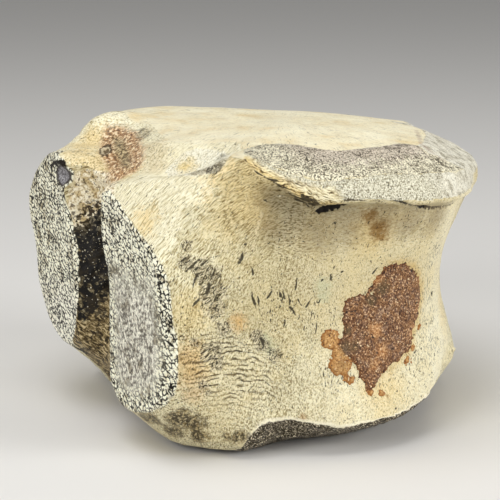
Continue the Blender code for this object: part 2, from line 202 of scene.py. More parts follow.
# The large open pores of the side, on the wall rolled out flat: along, up, turn, length and width.
STROKES = [
    (-104.8, 36.6, 102, 3.2, 0.6), (-103.9, 36.2, 90, 3.2, 0.5), (-99.5, 37, 101, 2.8, 0.8),
    (-98.7, 36.8, 101, 2.2, 0.6), (-97.2, 35.8, 108, 2.5, 0.8), (-96.7, 33.6, 112, 2.5, 0.7),
    (-95, 35.4, 130, 1.6, 0.5), (-93.1, 34.8, 53, 2.4, 0.5), (-107.6, 45.6, 77, 2.1, 0.8),
    (-105.4, 42.5, 88, 2, 0.5), (-96, 39.2, 82, 2.1, 0.4), (-91.3, 29.1, 83, 2.2, 0.4),
    (-87.9, 40.1, 90, 1.4, 1.1), (-89.9, 39.8, 40, 1, 0.7), (-85.7, 40.8, 30, 1, 0.6),
    (-77.3, 40.4, 50, 1.4, 0.6), (-98.7, 30.5, 85, 1.6, 0.4), (-57.5, 34.5, 100, 2.6, 0.5),
    (-55, 31.2, 105, 2, 0.5), (-63.6, 20.5, 30, 1.2, 0.7), (-103.1, 26.6, 105, 2.2, 0.9),
    (-102, 37, 60, 1.6, 0.4), (-96.8, 58.7, -30, 3.4, 0.6), (-94.6, 58, -34, 3.4, 1.5),
    (-92.8, 57, -32, 4.2, 1.9), (-94.8, 56.9, -24, 3.4, 0.9), (-99.2, 60.7, -23, 3, 0.5),
    (-103.6, 63.4, -33, 2.8, 0.4), (-101, 62, -26, 3, 0.5), (-117.2, 45.8, 48, 2.4, 0.4),
    (-115.6, 44.6, 50, 2.8, 0.5), (-113.9, 45, 42, 2.2, 0.4), (-114.9, 41.8, 75, 2.6, 0.5),
    (-113.2, 39.4, 80, 2.4, 0.7), (-112, 37.2, 65, 2.2, 0.5), (-114.6, 37, 60, 2, 0.5),
    (-112.6, 42.4, 70, 2, 0.4),
]
# Grime spots; round those on the lower left the darker wash also stands in for painted shade where the bone
# faces down.
GRIME_AND_SHADE = [
    (27.5, -46.6, 8.6, 3.4), (24, -47, 7.6, 2.6), (33.8, -43.2, 10.2, 4), (35.6, -41, 8.4, 4),
    (34.4, -39.4, 5.7, 3.2), (37.4, -37.2, 5.4, 1.8), (39.3, -31.6, 5.8, 2.4), (30, -43.5, 5.4, 3.6),
    (38.6, -34.2, 5.8, 1.6), (-14.5, -29.8, 65.8, 3), (-9.5, -31, 65, 3),
]
# SHADED: painted shade on the wall under the lip's overhang, where the lip's shadow falls.
SHADED = [
    (42.4, -24, 57.5, 7), (43.4, -20, 55, 9), (44, -15, 52, 9), (46.5, -9, 53, 8), (48.5, -2, 54, 8),
    (49, 5, 52.5, 7), (46.8, 13, 51.5, 7), (42, -24, 52, 6),
]
DUSTY = [
    (5.5, -34.9, 64.3, 5.5), (8.6, -35.6, 63.2, 5.5), (10.5, -36.8, 61.2, 5), (2, -34, 65, 5),
    (-12, -29.5, 65.6, 5),
]


def rise(low, high, value):
    """Smooth rise from 0 at low to 1 at high, or a fall where low is the higher."""
    t = np.clip((value - low) / (high - low), 0.0, 1.0)
    return t * t * (3.0 - 2.0 * t)


def spread(values, rounds):
    """Average every point of the skin with its neighbours, as many times as asked."""
    for _ in range(rounds):
        total = np.zeros_like(values)
        np.add.at(total, pairs[:, 0], values[pairs[:, 1]])
        np.add.at(total, pairs[:, 1], values[pairs[:, 0]])
        values = 0.5 * values + 0.5 * total / (shares if values.ndim == 1 else shares[:, None])
    return values


def away_from(*spot):
    """Distance of each point from one spot."""
    return np.linalg.norm(points - np.array(spot), axis=1)


def near(places):
    """How near each point is to one of the places: 1 on it, 0 at its reach, and below 0 past that."""
    best = np.full(count, -1.0)
    for px, py, pz, reach in places:
        best = np.maximum(best, 1.0 - away_from(px, py, pz) / reach)
    return best


def soft_spot(px, py, pz, reach):
    """A soft dent or swelling: 1 at its middle, next to nothing at its reach."""
    return np.exp(-(away_from(px, py, pz) / (0.6 * reach)) ** 2)


def beside(line, spots=None):
    """Distance from a line of points, for the skin's own points unless other spots are given."""
    spots = points if spots is None else spots
    least = np.full(len(spots), 1e9)
    for a, b in zip(line, line[1:]):
        start, run = spots - np.array(a), np.array(b) - np.array(a)
        part = np.clip(start @ run / (run @ run), 0.0, 1.0)
        least = np.minimum(least, np.linalg.norm(start - part[:, None] * run, axis=1))
    return least


def inside(across, up, outline):
    """Distance in from a closed outline, below 0 outside it."""
    closed = outline + outline[:1]
    odd = np.zeros(len(across), dtype=bool)
    for a, b in zip(closed, closed[1:]):
        if a[1] != b[1]:
            crossing = a[0] + (up - a[1]) * (b[0] - a[0]) / (b[1] - a[1])
            odd ^= ((up > a[1]) != (up > b[1])) & (across < crossing)
    least = beside(closed, np.stack((across, up), axis=1))
    return np.where(odd, least, -least)


def lumps(size, octaves=2, shift=0.0):
    """Smooth random relief, about -1 to 1, whose lumps have this size."""
    return np.array([noise.fractal(Vector(p), 1.0, 2.0, octaves) for p in points / size + shift])


def keep(mesh, name, values):
    """Store a value at every point of a mesh, for the finish to read."""
    made = mesh.attributes.new(name, "FLOAT", "POINT")
    made.data.foreach_set("value", np.clip(values, -MASK_LIMIT, MASK_LIMIT).astype(np.float32))


def placed(name, data):
    """A new object in the scene."""
    made = bpy.data.objects.new(name, data)
    bpy.context.scene.collection.objects.link(made)
    return made


def settle(piece):
    """Work a piece's modifiers out to a plain mesh, and give it that mesh."""
    mesh = bpy.data.meshes.new_from_object(piece.evaluated_get(bpy.context.evaluated_depsgraph_get()))
    piece.modifiers.clear()
    piece.data = mesh
    return mesh


def even_skin(source):
    """The node's shape as one even grid of faces."""
    welded = bmesh.new()
    welded.from_mesh(source.data)
    bmesh.ops.remove_doubles(welded, verts=welded.verts, dist=WELD * MM)
    mesh = bpy.data.meshes.new("fossil_bone")
    welded.to_mesh(mesh)
    welded.free()
    body = placed("fossil_bone", mesh)
    grid = body.modifiers.new("even grid", "REMESH")
    grid.mode = "VOXEL"
    grid.voxel_size = GRID * MM
    settle(body).name = "fossil_bone"
    return body


bone = even_skin(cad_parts["centrum"])
skin = bone.data
count = len(skin.vertices)
flat = np.empty(count * 3, dtype=np.float32)
skin.vertices.foreach_get("co", flat)
points = flat.reshape(-1, 3).astype(float) / MM
ends = np.empty(len(skin.edges) * 2, dtype=np.int32)
skin.edges.foreach_get("vertices", ends)
pairs = ends.reshape(-1, 2)
shares = np.bincount(ends, minlength=count).astype(float)
points = spread(points, EASE_ROUNDS)
skin.vertices.foreach_set("co", (points * MM).astype(np.float32).ravel())
skin.update()
skin.vertex_normals.foreach_get("vector", flat)
facing = flat.reshape(-1, 3).astype(float)

degree = np.degrees(np.arctan2(points[:, 1] - AXIS_Y, points[:, 0] - AXIS_X))
x, y, z = points.T
upward = spread(facing[:, 2], 2)

behind = y < CANAL_BACK
facet = np.maximum(inside(x, z, NEAR_FACET), inside(x, z, FAR_FACET))
facet = np.where(y < FACET_BACK, facet, np.minimum(facet, -1))
back = rise(-38, -46, degree) * rise(-140, -132, degree)
face = rise(0.955, 0.985, upward) * rise(60, 63, z)
band = np.where(z > 58, inside(x, y, ROUGH_BAND), OUTSIDE)
hidden = rise(30, 50, degree) + rise(-145, -160, degree)
worn = rise(0.8, 0.88, upward) * rise(0.985, 0.96, upward) * rise(56, 58, z) * hidden
foot = z - np.interp(-WALL_RADIUS * np.arctan2(x, y), *zip(*LIP_FOOT))
lip = rise(-0.4, 0.4, foot) * rise(0.1, 0.32, upward) * rise(54, 56, z) * (1 - face)
lip = lip * (1 - back) * rise(0.2, -0.4, band)
chipped = np.interp(degree, *zip(*CHIPPED_TO)) - z
chipped = np.where(upward < 0.12, chipped, -2)
groove = rise(-108, -103.5, degree) * rise(-76, -79.5, degree) * rise(60, 56, z)
matrix = np.where(behind | (degree < -70), inside(x, z, MATRIX), OUTSIDE)
matrix = np.where((y < MATRIX_BACK) & (facet < 0.3), matrix, OUTSIDE)
hollow = np.where(z > 54, inside(x, y, RUST_HOLLOW), OUTSIDE)
crust_at = np.where(x > 30, inside(y, z, CRUST), -MASK_LIMIT)
lens = np.where(z > 56, inside(x, y, LENS_HOLLOW), OUTSIDE)
bevel = rise(0.3, 0.5, upward) * back * (1 - face)

relief = 0.22 * lumps(9) + 0.1 * lumps(3.2, 2, 50) + 0.07 * lumps(1.7, 1, 30)
relief *= (1 - 0.75 * rise(-0.3, 0.3, facet)) * (1 - 0.6 * face)
relief += 0.3 * np.exp(-((facet - 0.8) / 0.8) ** 2)
relief += rise(-0.5, 0.5, chipped) * 0.4 * lumps(2.2)
relief += (rise(-0.5, 0.5, band) + 0.5 * lip) * 0.12 * lumps(1.8, 1, 12)
relief += rise(-0.5, 0.5, matrix) * 0.4 * lumps(2.4, 2, 20)
relief += rise(4, 1.5, beside(SPLINTERS)) * 0.22 * lumps(1.6, 1, 70)
relief -= 0.9 * rise(0, 0.6, near(UNDERCUT)) + 0.35 * rise(0.8, 0.2, beside(LIP_CRACK))
relief -= 0.5 * rise(0.9, 0.2, beside(LIP_GAP)) + 0.5 * rise(1.2, 0.3, beside(LIP_FLAKES))
for *spot, reach, deep in PITS:
    relief -= deep * soft_spot(*spot, reach)
oval = np.hypot((x - ROUND_PIT[0]) / ROUND_PIT_WIDE, (z - ROUND_PIT[1]) / ROUND_PIT_TALL)
oval = np.where(y < PIT_BACK, oval, FAR_OFF)
relief -= ROUND_PIT_DEEP * rise(1, 0.4, oval)
turned = math.radians(RINGED_TURN)
off_x, off_y, off_z = (points - np.array(RINGED_PIT)).T
sideways = off_x * math.cos(turned) + off_y * math.sin(turned)
down_slope = 0.3 * (off_x * math.sin(turned) - off_y * math.cos(turned)) - 0.95 * off_z
ringed = np.hypot(sideways / RINGED_WIDE, down_slope / RINGED_TALL)
ringed = np.where(np.hypot(off_x, off_y) < RINGED_REACH, ringed, FAR_OFF)
relief += 0.25 * np.exp(-((ringed - 1) / 0.28) ** 2) - RINGED_DEEP * rise(0.75, 0.25, ringed)
for *spot, reach, much in FULLER:
    relief += np.minimum(much * soft_spot(*spot, reach), np.maximum(RIM_TOP - z, 0))
shaped = points + facing * (relief * rise(0, 2, z))[:, None]
skin.vertices.foreach_set("co", (shaped * MM).astype(np.float32).ravel())
skin.update()

masks = {
    "face": face, "band": band, "worn": worn, "lip": lip, "foot": foot, "lens_edge": beside(LENS_EDGE),
    "facet": facet, "chipped": chipped, "groove": groove, "matrix": matrix, "hollow": hollow,
    "crust": crust_at, "undercut": np.maximum(near(UNDERCUT), 0.65 - beside(LIP_GAP)),
    "lip_crack": np.minimum(beside(LIP_CRACK), beside(LIP_FLAKES) - 0.5), "splinters": beside(SPLINTERS),
    "corner_line": beside(CORNER_LINE), "crease": beside(CREASE), "round_pit": oval, "ringed_pit": ringed,
    "ochre": near(OCHRE), "rust": near(RUST_STAIN), "warm": near(WARM_STAIN), "open_bone": near(OPEN_BONE),
    "upright": near(UPRIGHT_DASHES), "green": near(GREY_GREEN), "grime_and_shade": near(GRIME_AND_SHADE), "shaded": near(SHADED),
    "dusty": near(DUSTY), "floor_crack": np.minimum(beside(FLOOR_CRACK), beside(PIT_CRACK)), "lens": lens,
    "bevel": bevel,
}
for name, values in masks.items():
    keep(skin, name, values)


def shade(red, green, blue):
    """A colour as a screen shows it, 0 to 255, for a colour socket."""
    parts = [c / 255.0 for c in (red, green, blue)]
    return [c / 12.92 if c <= 0.04045 else ((c + 0.055) / 1.055) ** 2.4 for c in parts] + [1.0]


class Steps:
    """A node tree written from top to bottom: each step gives the socket that later steps read."""

    def __init__(self, tree):
        self.tree = tree

    def step(self, kind, output=0, inputs=None, **settings):
        made = self.tree.nodes.new(kind)
        for name, value in settings.items():
            setattr(made, name, value)
        for key, value in (inputs or {}).items():
            if isinstance(value, bpy.types.NodeSocket):
                self.tree.links.new(value, made.inputs[key])
            else:
                made.inputs[key].default_value = value
        return made.outputs[output]

    def maths(self, operation, *values):
        return self.step("ShaderNodeMath", inputs=dict(enumerate(values)), operation=operation)

    times = partialmethod(maths, "MULTIPLY")
    plus = partialmethod(maths, "ADD")
    minus = partialmethod(maths, "SUBTRACT")
    most = partialmethod(maths, "MAXIMUM")
    scaled = partialmethod(maths, "MULTIPLY_ADD")

    def mix(self, share, first, second, part=None, blend="MIX"):
        """From the first colour to the second by a share, or by a part of it."""
        share = share if part is None else self.times(share, part)
        first, second = [shade(*tone) if isinstance(tone, tuple) else tone for tone in (first, second)]
        inputs = {0: share, 6: first, 7: second}
        return self.step("ShaderNodeMix", 2, inputs, data_type="RGBA", blend_type=blend)

    def between(self, share, first, second):
        """A number that goes from the first to the second."""
        return self.step("ShaderNodeMix", 0, {0: share, 2: first, 3: second}, data_type="FLOAT")

    def stain(self, share, under, tone, part=None):
        """A colour under a thin tint, which its own light and dark show through: a stain, and in places
        painted shade.
        """
        return self.mix(share, under, tone, part, "MULTIPLY")

    def rise(self, value, low, high):
        inputs = {0: value, 1: low, 2: high}
        return self.step("ShaderNodeMapRange", inputs=inputs, interpolation_type="SMOOTHSTEP")

    def ramp(self, value, *stops):
        """Colours by value: where each stop lies, and its red, green and blue."""
        made = self.step("ShaderNodeValToRGB", inputs={0: value}).node
        while len(made.color_ramp.elements) < len(stops):
            made.color_ramp.elements.new(0.5)
        for element, (spot, *tone) in zip(made.color_ramp.elements, stops):
            element.position = spot
            element.color = shade(*tone)
        return made.outputs[0]

    def cloudy(self, place, scale, detail, rough, warp):
        inputs = {"Vector": place, "Scale": scale, "Detail": detail, "Roughness": rough, "Distortion": warp}
        return self.step("ShaderNodeTexNoise", inputs=inputs)

    def grain(self, size, detail=1.0, rough=0.5, warp=0.0, place=None):
        """Soft noise whose spots are about this many millimetres across."""
        return self.cloudy(self.place if place is None else place, 1.0 / (size * MM), detail, rough, warp)

    def drawn_out(self, place, turn, along, across):
        """A place turned by so many degrees and measured in lengths of a streak and in its widths."""
        scale = (along * MM, across * MM, 12.0 * across * MM)
        inputs = {"Vector": place, "Rotation": (0.0, 0.0, math.radians(turn)), "Scale": scale}
        return self.step("ShaderNodeMapping", inputs=inputs, vector_type="TEXTURE")

    def streaks(self, place, detail=2.0, rough=0.6, warp=0.3):
        """Noise on a drawn-out place."""
        return self.cloudy(place, 1.0, detail, rough, warp)


class Finish(Steps):
    """A material, with its shader and its object's own coordinates."""

    def __init__(self, name):
        self.material = bpy.data.materials.new(name)
        self.material.use_nodes = True
        super().__init__(self.material.node_tree)
        self.shader = self.tree.nodes["Principled BSDF"]
        self.place = self.step("ShaderNodeTexCoord", "Object")

    def own(self, name):
        return self.step("ShaderNodeAttribute", "Fac", attribute_name=name)

    def link(self, socket, key):
        self.tree.links.new(socket, self.shader.inputs[key])

    def fix(self, key, value):
        """Set a value that is the same all over."""
        self.shader.inputs[key].default_value = value

    def speckle(self, size, level, softness=0.04):
        inputs = {"Vector": self.place, "Size": size, "Level": level, "Softness": softness}
        return self.step("ShaderNodeGroup", 0, inputs, node_tree=SPECKLE)

    def lay(self, mask, tone, part=None):
        """Lay a colour over the ones before, where the mask says."""
        self.colour = self.mix(mask, self.colour, tone, part)

    def wash(self, mask, tone, part=None):
        """Lay a thin tint over the colours before: a stain, and in places painted shade."""
        self.colour = self.stain(mask, self.colour, tone, part)

    def coat(self, depth):
        """Give the shader the colour, weathered this much."""
        inputs = {"Color": self.colour, "Vector": self.place, "Depth": depth}
        self.link(self.step("ShaderNodeGroup", 0, inputs, node_tree=WEATHERING), "Base Color")

    def roughen(self, height, deep, strength):
        """Give the shader fine relief that is this many millimetres deep."""
        inputs = {"Height": height, "Distance": deep * MM, "Strength": strength}
        self.link(self.step("ShaderNodeBump", inputs=inputs), "Normal")


def group_with(name, ins, out):
    """A node group with named inputs and one output: the group, its Steps, what it reads and its end."""
    tree = bpy.data.node_groups.new(name, "ShaderNodeTree")
    for label, (kind, value) in ins.items():
        socket = tree.interface.new_socket(label, in_out="INPUT", socket_type="NodeSocket" + kind)
        if value is not None:
            socket.default_value = value
    tree.interface.new_socket(out[0], in_out="OUTPUT", socket_type="NodeSocket" + out[1])
    steps = Steps(tree)
    given = steps.step("NodeGroupInput").node.outputs
    return tree, steps, given, tree.nodes.new("NodeGroupOutput").inputs[0]


# Speckle: spots of any size, sharp or soft, that cover a share of the surface.
SPECKLE, g, given, end = group_with(
    "speckle",
    {
        "Vector": ("Vector", None), "Size": ("Float", 0.4), "Level": ("Float", 0.55),
        "Softness": ("Float", 0.04),
    }, ("Mask", "Float"))
fine_scale = g.maths("DIVIDE", 1.0 / MM, given["Size"])
spots = g.cloudy(given["Vector"], fine_scale, 1.0, 0.5, 0.2)
low_end = g.minus(given["Level"], given["Softness"])
high_end = g.plus(given["Level"], given["Softness"])
g.tree.links.new(g.rise(spots, low_end, high_end), end)

# Weathering: a colour made lighter and darker in clouds and in fine grain.
WEATHERING, g, given, end = group_with(
    "weathering", {"Color": ("Color", None), "Vector": ("Vector", None), "Depth": ("Float", 0.2)},
    ("Color", "Color"))
fine_grain = g.grain(0.38, 2.0, 0.7, place=given["Vector"])
cloud = g.grain(5.0, 3.0, 0.6, place=given["Vector"])
both = g.plus(g.times(fine_grain, 1.5), cloud)
level = g.scaled(g.minus(both, 1.25), given["Depth"], 1.0)
tone = g.step("ShaderNodeCombineColor", inputs={0: level, 1: level, 2: level})
g.tree.links.new(g.stain(1.0, given["Color"], tone), end)

f = Finish("fossil_bone")

# The side wall rolled out flat: along the wall, up it, and out from the axis.
at_x, at_y, at_z = f.step("ShaderNodeSeparateXYZ", inputs={0: f.place}).node.outputs
along = f.times(f.maths("ARCTAN2", at_x, at_y), -WALL_RADIUS * MM)
level_place = f.step("ShaderNodeVectorMath", 0, {0: f.place, 1: (1, 1, 0)}, operation="MULTIPLY")
out = f.step("ShaderNodeVectorMath", 1, {0: level_place}, operation="LENGTH")
wobble = f.scaled(f.grain(4), 1.8 * MM, -0.9 * MM)
along = f.plus(along, wobble)
up = f.plus(at_z, wobble)
wall = f.step("ShaderNodeCombineXYZ", 0, {0: along, 1: up, 2: out})
# From here on the place passes through a sum, so that the renderer works out each noise
# only where it is used, and keeps few of them at a time.
f.place = f.step("ShaderNodeVectorMath", 0, {0: f.place, 1: (0, 0, 0.001 * MM)}, operation="ADD")


def rayed(centre_along, centre_up, reach):
    """The rolled-out wall as rays from a centre: out along a ray, and round from ray to ray at this reach."""
    dx = f.minus(along, centre_along * MM)
    dz = f.minus(up, centre_up * MM)
    ray = f.maths("SQRT", f.plus(f.times(dx, dx), f.times(dz, dz)))
    swing = f.times(f.maths("ARCTAN2", dz, dx), reach * MM)
    return ray, f.step("ShaderNodeCombineXYZ", 0, {0: ray, 1: swing, 2: out})


break_up = f.grain(2.2, 2, 0.6)
crumbs = f.grain(0.7, 2, 0.6)
ragged = f.scaled(f.plus(break_up, crumbs), 1, -1)


def edge(name, low, high, rag=1):
    """A kept value made a mask with a ragged border."""
    return f.rise(f.scaled(ragged, rag, f.own(name)), low, high)


def past(place, low, high, rag=None):
    """How far a place, in millimetres, has come from low to high, with a ragged border if asked."""
    place = place if rag is None else f.scaled(ragged, rag * MM, place)
    return f.rise(place, low * MM, high * MM)


# Fibres: arcs below the lip's corner, rings round the lower left, short upright grain elsewhere.
RING_STEP = 1.15
_, fan_place = rayed(-90, 33, 32)
ring_out, ring_place = rayed(-112, -3, 30)
plain_grain = f.scaled(f.streaks(f.drawn_out(wall, 84, 0.42, 0.24)), 1.25, -0.125)
fan = f.streaks(f.drawn_out(fan_place, 90, 1, 0.23))
level_grain = f.scaled(f.streaks(f.drawn_out(wall, 6, 0.9, 0.28), 2, 0.6, 0.5), 1.4, -0.2)
ripple = f.times(ring_out, 2 * math.pi / (RING_STEP * MM))
ripple = f.scaled(f.grain(3, 2, 0.6, place=wall), 11, ripple)
unbroken_ring = f.rise(f.streaks(f.drawn_out(ring_place, 90, 3.6, 0.7), 2, 0.6, 0.3), 0.42, 0.58)
ring_line = f.times(f.rise(f.maths("SINE", ripple), 0.22, 0.8), unbroken_ring)
in_rings = f.rise(f.plus(ring_out, f.times(ragged, 8 * MM)), 35 * MM, 28 * MM)
in_rings = f.times(in_rings, f.scaled(past(up, 10, 17), 0.75, 0.25))
in_fan = past(up, 28, 38, 10)
left_of_crease = past(along, -98, -106)
under_lip = past(up, 42, 48)
fibre = f.between(under_lip, plain_grain, level_grain)
fibre = f.between(f.times(in_fan, left_of_crease), fibre, fan)
depth = f.rise(f.grain(6, 2), 0.3, 0.7)
# The calm right part of the side: finer, paler grain, and painted lighter than the middle as well, as painted
# light where the side is better lit.
calm_and_lit = past(along, -102, -84, 6)
calm_and_lit = f.times(calm_and_lit, past(along, -30, -50))
drawn = f.minus(fibre, f.scaled(depth, 0.04, -0.02))
f.colour = f.ramp(
    drawn, (0.34, 116, 100, 62), (0.41, 174, 159, 114), (0.48, 211, 201, 162), (0.6, 237, 230, 197))
calm_lit_colour = f.ramp(drawn, (0.34, 206, 193, 152), (0.45, 230, 219, 180), (0.6, 240, 233, 202))
calm_lit_colour = f.mix(f.speckle(0.6, 0.68), calm_lit_colour, (112, 96, 60), 0.6)
# Painted light: the calm part is lighter towards its right edge, where the light from the right falls.
painted_rim_light = f.times(past(at_y, 12, 19), 0.5)
f.lay(calm_and_lit, f.mix(painted_rim_light, calm_lit_colour, (255, 251, 226)))
ring_fade = past(along, -96, -106, 8)
ring_line = f.times(ring_line, f.scaled(ring_fade, 0.8, 0.12))
ring_line = f.times(ring_line, past(along, -119, -113, 4))
between_rings = f.times(f.rise(f.maths("SINE", ripple), -0.2, -0.9), f.times(in_rings, ring_fade))
f.lay(between_rings, (240, 230, 196), 0.5)
f.lay(f.times(ring_line, in_rings), (54, 41, 22))
# Painted shade: the side is greyed a little from about 21 mm up, except at its far left, as if less lit than
# its foot.
painted_shade_high = past(up, 21, 35, 4)
f.wash(f.times(painted_shade_high, past(along, -114, -104)), (235, 231, 222))
warm_clouds = f.rise(f.grain(8, 3, 0.6), 0.42, 0.68)
f.lay(warm_clouds, (226, 206, 150), 0.3)

# Open pores: short dark dashes, thick in the open bone.
pores = f.streaks(f.drawn_out(wall, 62, 0.62, 0.36), 1, 0.5, 0.7)
open_bone = edge("open_bone", 0, 0.6)
pore = f.rise(f.plus(pores, f.times(open_bone, 0.11)), 0.69, 0.73)
web = f.streaks(f.drawn_out(wall, 58, 1.2, 0.6), 2, 0.6, 1.2)
web = f.maths("ABSOLUTE", f.minus(web, 0.5))
open_inside = f.rise(open_bone, 0.15, 0.5)
gap = f.times(f.rise(web, 0.044, 0.018), open_inside)
dashes = f.streaks(f.drawn_out(wall, 88, 0.8, 0.34), 1, 0.5, 0.3)
upright = edge("upright", 0, 0.5)
dash = f.rise(f.plus(dashes, f.times(upright, 0.085)), 0.7, 0.74)
hole = f.most(f.most(pore, dash), gap)
small_hole = hole
STROKE_THIN = 0.36
least = FAR_OFF
for spot_along, spot_up, lean, length, width in STROKES:
    run, lift = math.cos(math.radians(lean)), math.sin(math.radians(lean))
    parts = []
    for go, climb, half in ((run, lift, 0.5 * length * MM), (-lift, run, STROKE_THIN * width * MM)):
        start = -(spot_along * go + spot_up * climb) * MM / half
        parts.append(f.scaled(along, go / half, f.scaled(up, climb / half, start)))
    squared = f.scaled(parts[1], parts[1], f.times(parts[0], parts[0]))
    least = f.maths("MINIMUM", squared, least)
least = f.maths("SQRT", least)
hole = f.most(hole, f.rise(f.scaled(ragged, 2.4, least), 1.4, 0.8))

# Stains on the wall, and painted shade under the lip, thin enough for its own light and dark to show through.
f.wash(edge("warm", 0, 0.9, 0.5), (251, 242, 224))
f.wash(edge("ochre", 0, 0.8, 0.6), (246, 233, 222))
# Painted shade: the wall under the lip's overhang is greyed, as the lip's shadow would make it.
f.wash(edge("shaded", -0.1, 0.8, 0.5), (203, 199, 195))
f.wash(edge("rust", 0, 0.9, 1.2), (192, 166, 128))
f.lay(edge("green", 0, 0.9, 1.2), (200, 206, 170), 0.5)
f.wash(edge("dusty", 0, 0.8, 0.6), (206, 200, 184))
f.wash(open_bone, (204, 194, 176), 0.45)
between_gaps = f.times(f.rise(web, 0.05, 0.11), open_inside)
f.lay(between_gaps, (238, 229, 198), 0.6)
f.lay(f.speckle(0.45, 0.63, 0.05), (108, 94, 60), 0.3)
# Painted highlight: a pale line down the crease's ridge, where light catches it.
f.lay(edge("crease", 0.5, 0.1, -0.8), (238, 225, 186), 0.4)
amber = f.times(edge("ochre", 0.1, 0.9), past(up, 27, 29))
f.lay(amber, (226, 182, 112), 0.55)
# Dark grime patches in a soft darker wash, partly painted shade on the lower left, where the bone faces down.
dirt_and_shade = edge("grime_and_shade", 0, 0.5, 1.4)
f.wash(dirt_and_shade, (214, 206, 192))
dirt_and_shade = f.times(dirt_and_shade, f.rise(crumbs, 0.6, 0.46))
f.lay(dirt_and_shade, (52, 44, 30), 0.9)
far_side = past(at_y, -1, 6, 5)
halo = f.times(edge("crust", -2.2, 0, 1.6), f.scaled(far_side, 0.8, 0.2))
f.wash(halo, (244, 224, 184), 0.8)

# The smooth end face: fine grain, faint veins.
fine = f.grain(0.5, 2, 0.6)
veins = f.grain(15, 3, 0.55, 0.8)
vein = f.rise(f.maths("ABSOLUTE", f.minus(veins, 0.5)), 0.014, 0)
clouds = f.grain(9, 3, 0.6)
smooth = f.ramp(clouds, (0.35, 251, 244, 213), (0.55, 243, 232, 196), (0.7, 236, 216, 168))
smooth = f.mix(f.rise(fine, 0.52, 0.36), smooth, (196, 178, 136), 0.28)
smooth = f.mix(vein, smooth, (176, 152, 138), 0.12)
f.lay(edge("face", 0.35, 0.65, 0.5), smooth)

# The sloping bone over the back's edge, and the stippled hollow in it.
slope_grain = f.between(past(at_x, 6, 16, 6), fine, fan)
slope = f.ramp(slope_grain, (0.35, 176, 164, 124), (0.44, 228, 218, 180), (0.6, 252, 246, 218))
slope = f.stain(edge("warm", -0.1, 0.7), slope, (248, 234, 208))
slope = f.stain(edge("dusty", 0, 0.9, 0.6), slope, (236, 230, 222))
slope = f.mix(dirt_and_shade, slope, (84, 76, 60), 0.8)
f.lay(edge("bevel", 0.35, 0.65, 0.4), slope)

# Stippled bone of the rough band and the lip.
patches = f.grain(3, 2, 0.6)
stipple = f.grain(0.36, 2, 0.6, 0.3)
blotchy = f.times(f.minus(patches, 0.54), past(at_y, 10, 20))
stippled = f.scaled(blotchy, 0.5, f.scaled(patches, 0.25, stipple))
band_colour = f.ramp(
    stippled, (0.51, 246, 240, 214), (0.6, 226, 218, 188), (0.67, 152, 143, 120), (0.74, 54, 46, 34))
mauve = past(at_z, 63.2, 65.2, 4)
band_colour = f.stain(f.times(mauve, past(at_y, -20, -10)), band_colour, (229, 223, 229))
lip_colour = f.ramp(
    stipple, (0.35, 112, 104, 80), (0.43, 168, 162, 136), (0.51, 206, 201, 178), (0.66, 236, 232, 211))
# The lens hollow: pale stipple, darker stipple along its lower edge, partly as painted shadow inside the
# hollow.
lens_colour = f.mix(
    edge("lens_edge", 2.6, 0.9, -1.6),
    f.ramp(stipple, (0.36, 176, 166, 132), (0.46, 232, 226, 200), (0.6, 252, 249, 232)),
    f.ramp(stipple, (0.4, 92, 82, 58), (0.5, 160, 148, 116), (0.62, 240, 234, 210)))
lens_colour = f.stain(edge("ochre", 0, 1, 0.8), lens_colour, (240, 220, 168))
f.lay(edge("lens", -0.2, 0.4, 0.6), lens_colour, 0.9)
f.lay(edge("worn", 0.35, 0.65), band_colour, 0.8)
far_corner = past(at_y, 6, 16)
lip_colour = f.mix(
    far_corner, lip_colour,
    f.ramp(break_up, (0.44, 248, 244, 228), (0.54, 222, 215, 196), (0.62, 150, 142, 124)), 0.5)
f.lay(edge("lip", 0.35, 0.65, 0.5), lip_colour)
f.lay(edge("band", -0.25, 0.25), band_colour)

# The splintered corner of the lip, its undercut and the crack under it.
splinter_lines = f.streaks(f.drawn_out(wall, -24, 1.3, 0.26), 2, 0.6, 0.8)
splinter_colour = f.ramp(
    splinter_lines, (0.36, 58, 46, 28), (0.42, 146, 126, 86), (0.5, 210, 196, 154), (0.6, 238, 230, 196))
over_foot = edge("foot", -0.3, 0.2)
f.lay(f.times(edge("splinters", 4.4, 2.6, -1.6), over_foot), splinter_colour)
at_foot = f.times(edge("foot", 1.8, 0.2), edge("splinters", 4.4, 2.6, -1.6))
f.wash(f.times(at_foot, over_foot), (248, 234, 202))
f.lay(edge("lip_crack", 0.5, 0.2, -1.2), (62, 50, 32), 0.9)
f.lay(edge("corner_line", 0.8, 0.2, -1), (150, 122, 112), 0.4)
# Dark matrix in the lip's undercut, painted black partly as the shadow under the lip.
f.lay(edge("undercut", -0.05, 0.2, 0.7), (26, 19, 12))
f.lay(hole, (38, 30, 18), 0.92)
# Painted highlight: a pale line along the rim's edge just above the chipped underside, right of the crease.
rim_edge_highlight = f.times(edge("chipped", -1.1, -0.5), past(along, -108, -103))
f.lay(rim_edge_highlight, (252, 245, 220), 0.7)

